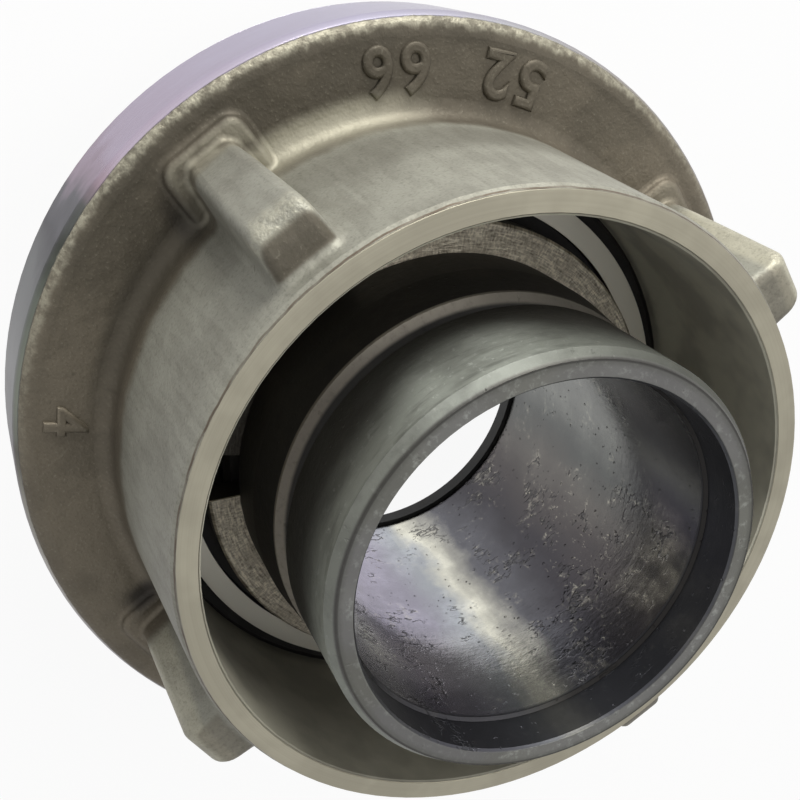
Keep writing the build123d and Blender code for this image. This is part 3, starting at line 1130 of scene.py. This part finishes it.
@dataclass(frozen=True)
class RubberFinish:
    """Black moulded rubber with a faint bloom.

    Args:
        black: Colour of the rubber.
        bloom: Colour of the bloom on it.
    """

    black: Colour = (0.012, 0.012, 0.012)
    bloom: Colour = (0.055, 0.052, 0.048)

    def material(self) -> bpy.types.Material:
        """Makes the material."""
        g = Graph("seal_rubber")
        dust = g.noise(2.8, 4.0, 0.65)
        grit = g.noise(0.3, 3.0, 0.6)
        return g.finish(
            {
                "Base Color": g.mix(dust.rise(0.46, 0.72) * 0.6, self.black, self.bloom),
                "Metallic": 0.0,
                "Roughness": 0.48 + dust * 0.22,
                "Normal": g.bump(grit * 0.03 + dust * 0.05),
            }
        )


def dress(node: bpy.types.Object, made: bpy.types.Material) -> None:
    """Gives every material slot of a piece one finish.

    Args:
        node: The piece.
        made: The finish.
    """
    for slot in node.material_slots:
        slot.material = made
    log.info("%s dressed in %s", node.name, made.name)


def clear_selection() -> None:
    """Leaves nothing selected, so that an operator acts on what it adds."""
    if bpy.context.object is not None and bpy.context.object.mode != "OBJECT":
        bpy.ops.object.mode_set(mode="OBJECT")
    bpy.ops.object.select_all(action="DESELECT")


@dataclass
class CastNumber:
    """A raised number on the flange's back, whose foot turns to the flange's rim.

    Args:
        digits: The plain digits.
        azimuth: Where the middle of the number stands, in degrees.
        radius: Distance of the number's middle from the axis, in millimetres.
        height: Height of a digit, in millimetres.
        spacing: Distance between digits.
        rise: Height of a digit's straight sides, below its soft edges.
        round: Radius of the soft edges.
        slimmer: How much its strokes are thinned before the edges widen them.
    """

    digits: str
    azimuth: float
    radius: float = 44.0
    height: float = 5.0
    spacing: float = 4.4
    rise: float = 0.10
    round: float = 0.40
    slimmer: float = 0.10

    def build(self, level: float, made: bpy.types.Material) -> None:
        """Makes the number and lets it ride on the ring.

        Args:
            level: Height of the flange's back, in millimetres.
            made: The casting's finish.
        """
        step = math.degrees(self.spacing / self.radius)
        first = self.azimuth - step * (len(self.digits) - 1) / 2
        pieces = [self._digit(digit, first + step * i, level) for i, digit in enumerate(self.digits)]
        clear_selection()
        for piece in pieces:
            piece.select_set(True)
        bpy.context.view_layer.objects.active = pieces[0]
        if len(pieces) > 1:
            bpy.ops.object.join()
        number = bpy.context.active_object
        number.name = f"cast_number_{self.digits}"
        bpy.ops.object.transform_apply(location=True, rotation=True, scale=True)
        bpy.ops.object.shade_smooth_by_angle(angle=math.radians(50.0))
        number.data.materials.clear()
        number.data.materials.append(made)
        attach(number, "locking_ring")
        log.info("%s stands on the flange", number.name)

    def _digit(self, digit: str, azimuth: float, level: float) -> bpy.types.Object:
        """Makes one digit.

        Args:
            digit: The digit.
            azimuth: Where it stands, in degrees.
            level: Height of the flange's back, in millimetres.

        Returns:
            The digit as a mesh.
        """
        clear_selection()
        turn = math.radians(azimuth)
        spot = (self.radius * MM * math.cos(turn), self.radius * MM * math.sin(turn), level * MM)
        bpy.ops.object.text_add(location=spot, rotation=(0.0, 0.0, turn + math.pi / 2))
        letter = bpy.context.active_object
        letter.data.body = digit
        letter.data.align_x, letter.data.align_y = "CENTER", "CENTER"
        letter.data.size = self.height * MM / CAP_SHARE
        letter.data.extrude = self.rise * MM
        letter.data.bevel_depth = self.round * MM
        letter.data.bevel_resolution = 4
        letter.data.offset = -self.slimmer * MM
        letter.data.resolution_u = 8
        bpy.ops.object.convert(target="MESH")
        return bpy.context.active_object


@dataclass
class LockingRing:
    """The cast ring with its lugs and hooks.

    Args:
        sizes: Where its surfaces end.
        finish: Its finish.
        numbers: The plain numbers cast on its flange.
    """

    sizes: CastingSizes = field(default_factory=CastingSizes)
    finish: CastingFinish = field(default_factory=CastingFinish)
    numbers: tuple[CastNumber, ...] = (
        CastNumber("52", -50.0),
        CastNumber("66", -31.0),
        CastNumber("4", 46.0, height=4.6),
    )

    def build(self, nodes: Mapping[str, bpy.types.Object]) -> None:
        """Dresses the ring and adds its cast numbers.

        Args:
            nodes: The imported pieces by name.
        """
        made = self.finish.material(self.sizes)
        dress(nodes["locking_ring"], made)
        for number in self.numbers:
            number.build(self.sizes.back, made)


@dataclass
class HoseTail:
    """The swivelling tail with its retaining ring and its seal.

    Args:
        sizes: Where the tail's surfaces end.
        finish: The tail's finish.
        retainer: The retaining ring's finish.
        rubber: The seal's finish.
    """

    sizes: TailSizes = field(default_factory=TailSizes)
    finish: TailFinish = field(default_factory=TailFinish)
    retainer: RetainerFinish = field(default_factory=RetainerFinish)
    rubber: RubberFinish = field(default_factory=RubberFinish)

    def build(self, nodes: Mapping[str, bpy.types.Object]) -> None:
        """Dresses the tail and the two rings on it.

        Args:
            nodes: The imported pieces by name.
        """
        dress(nodes["hose_tail"], self.finish.material(self.sizes))
        dress(nodes["retaining_ring"], self.retainer.material())
        dress(nodes["sealing_ring"], self.rubber.material())


def outward(azimuth: float, elevation: float) -> Vector:
    """Returns the unit vector that points to an azimuth and an elevation in degrees."""
    turn, lift = math.radians(azimuth), math.radians(elevation)
    return Vector((math.cos(lift) * math.cos(turn), math.cos(lift) * math.sin(turn), math.sin(lift)))


@dataclass(frozen=True)
class Lamp:
    """A soft square lamp that looks at the coupling.

    Args:
        name: The lamp's name.
        azimuth: Where it stands around the coupling, in degrees.
        elevation: Its elevation, in degrees.
        distance: Distance from the coupling, in metres.
        size: Side of the lamp.
        power: Power in watts.
        colour: Its colour.
    """

    name: str
    azimuth: float
    elevation: float
    distance: float
    size: float
    power: float
    colour: Colour

    def build(self, aim: Vector) -> None:
        """Makes the lamp.

        Args:
            aim: The point that it looks at.
        """
        out = outward(self.azimuth, self.elevation)
        lamp = bpy.data.lights.new(self.name, "AREA")
        lamp.shape, lamp.size, lamp.energy, lamp.color = "SQUARE", self.size, self.power, self.colour
        holder = bpy.data.objects.new(self.name, lamp)
        bpy.context.scene.collection.objects.link(holder)
        holder.location = aim + out * self.distance
        holder.rotation_euler = out.to_track_quat("Z", "Y").to_euler()
        holder.visible_camera = False


@dataclass
class Studio:
    """Floor, lamps, surroundings and camera.

    Args:
        lamps: The two lamps.
        aim: Height of the point that the lamps look at, in metres.
        floor_size: Side of the floor.
        paper: Colour of the floor where it is lit.
        glow: Strength of the white that the camera and reflections see in its place.
        glow_share: How much of that white covers the shadow.
        fill: Strength of the surroundings' light.
        lens: The camera's focal length, in millimetres.
        place: The camera's place.
        azimuth: Direction from the coupling to the camera, in degrees.
        elevation: The camera's elevation.
        roll: The camera's roll.
        shift: The camera's shift, in shares of the frame.
    """

    lamps: tuple[Lamp, ...] = (
        Lamp("key", -42.0, 5.0, 0.5, 0.26, 2.9, (1.0, 0.99, 0.95)),
        Lamp("top", -92.0, 57.0, 0.7, 0.28, 1.0, (1.0, 0.98, 0.94)),
    )
    aim: float = 0.035
    floor_size: float = 3.0
    paper: Colour = (0.86, 0.86, 0.86)
    glow: float = 1.03
    glow_share: float = 0.9
    fill: float = 0.26
    lens: float = 49.5
    place: tuple[float, float, float] = (0.0768, 0.0074, 0.1467)
    azimuth: float = -2.48
    elevation: float = 54.56
    roll: float = -142.99
    shift: tuple[float, float] = (0.0175, 0.1625)

    def build(self) -> None:
        """Makes the whole studio."""
        self.add_floor()
        self.add_world()
        for lamp in self.lamps:
            lamp.build(Vector((0.0, 0.0, self.aim)))
        self.add_camera()

    def add_floor(self) -> None:
        """Adds the plain pale floor, which keeps a faint shadow."""
        clear_selection()
        bpy.ops.mesh.primitive_plane_add(size=self.floor_size, location=(0.0, 0.0, 0.0))
        floor = bpy.context.active_object
        floor.name = "floor"
        g = Graph("floor_paper")
        path = g.node("ShaderNodeLightPath", {}, {})
        seen = Field(g, path.outputs["Is Camera Ray"]).highest(Field(g, path.outputs["Is Glossy Ray"]))
        lit = g.node("ShaderNodeBsdfDiffuse", {}, {"Color": g.colour(self.paper)})
        white = g.node("ShaderNodeEmission", {}, {"Color": g.colour(WHITE), "Strength": self.glow})
        both = g.node("ShaderNodeMixShader", {}, {0: seen * self.glow_share})
        g.tree.links.new(lit.outputs[0], both.inputs[1])
        g.tree.links.new(white.outputs[0], both.inputs[2])
        g.tree.links.new(both.outputs[0], g.output.inputs[0])
        floor.data.materials.append(g.material)

    def add_world(self) -> None:
        """Gives a white background to the camera and to reflections, and a dim fill to the rest."""
        world = bpy.data.worlds.new("studio_air")
        bpy.context.scene.world = world
        world.use_nodes = True
        tree = world.node_tree
        shade = tree.nodes["Background"]
        path = tree.nodes.new("ShaderNodeLightPath")
        seen = path.outputs["Is Camera Ray"]
        for ray in ("Is Glossy Ray", "Is Transmission Ray"):
            either = tree.nodes.new("ShaderNodeMath")
            either.operation = "MAXIMUM"
            tree.links.new(seen, either.inputs[0])
            tree.links.new(path.outputs[ray], either.inputs[1])
            seen = either.outputs[0]
        span = tree.nodes.new("ShaderNodeMapRange")
        span.inputs["To Min"].default_value = self.fill
        span.inputs["To Max"].default_value = 1.0
        tree.links.new(seen, span.inputs["Value"])
        tree.links.new(span.outputs[0], shade.inputs["Strength"])
        shade.inputs["Color"].default_value = (*WHITE, 1.0)

    def add_camera(self) -> None:
        """Adds the camera."""
        level = outward(self.azimuth, self.elevation).to_track_quat("Z", "Y").to_matrix()
        turn = Matrix.Rotation(-math.radians(self.roll), 3, "Z")
        lens = bpy.data.cameras.new("camera")
        lens.lens, lens.shift_x, lens.shift_y = self.lens, *self.shift
        lens.clip_start, lens.clip_end = 0.01, 10.0
        holder = bpy.data.objects.new("camera", lens)
        bpy.context.scene.collection.objects.link(holder)
        holder.location = self.place
        holder.rotation_euler = (level @ turn).to_euler()
        bpy.context.scene.camera = holder


def main() -> None:
    """Builds and dresses everything."""
    logging.basicConfig(level=logging.INFO, format="%(name)s: %(message)s")
    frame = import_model()
    LockingRing().build(frame["nodes"])
    HoseTail().build(frame["nodes"])
    Studio().build()
    bpy.context.scene.view_settings.view_transform = "Standard"


if __name__ == "__main__":
    main()
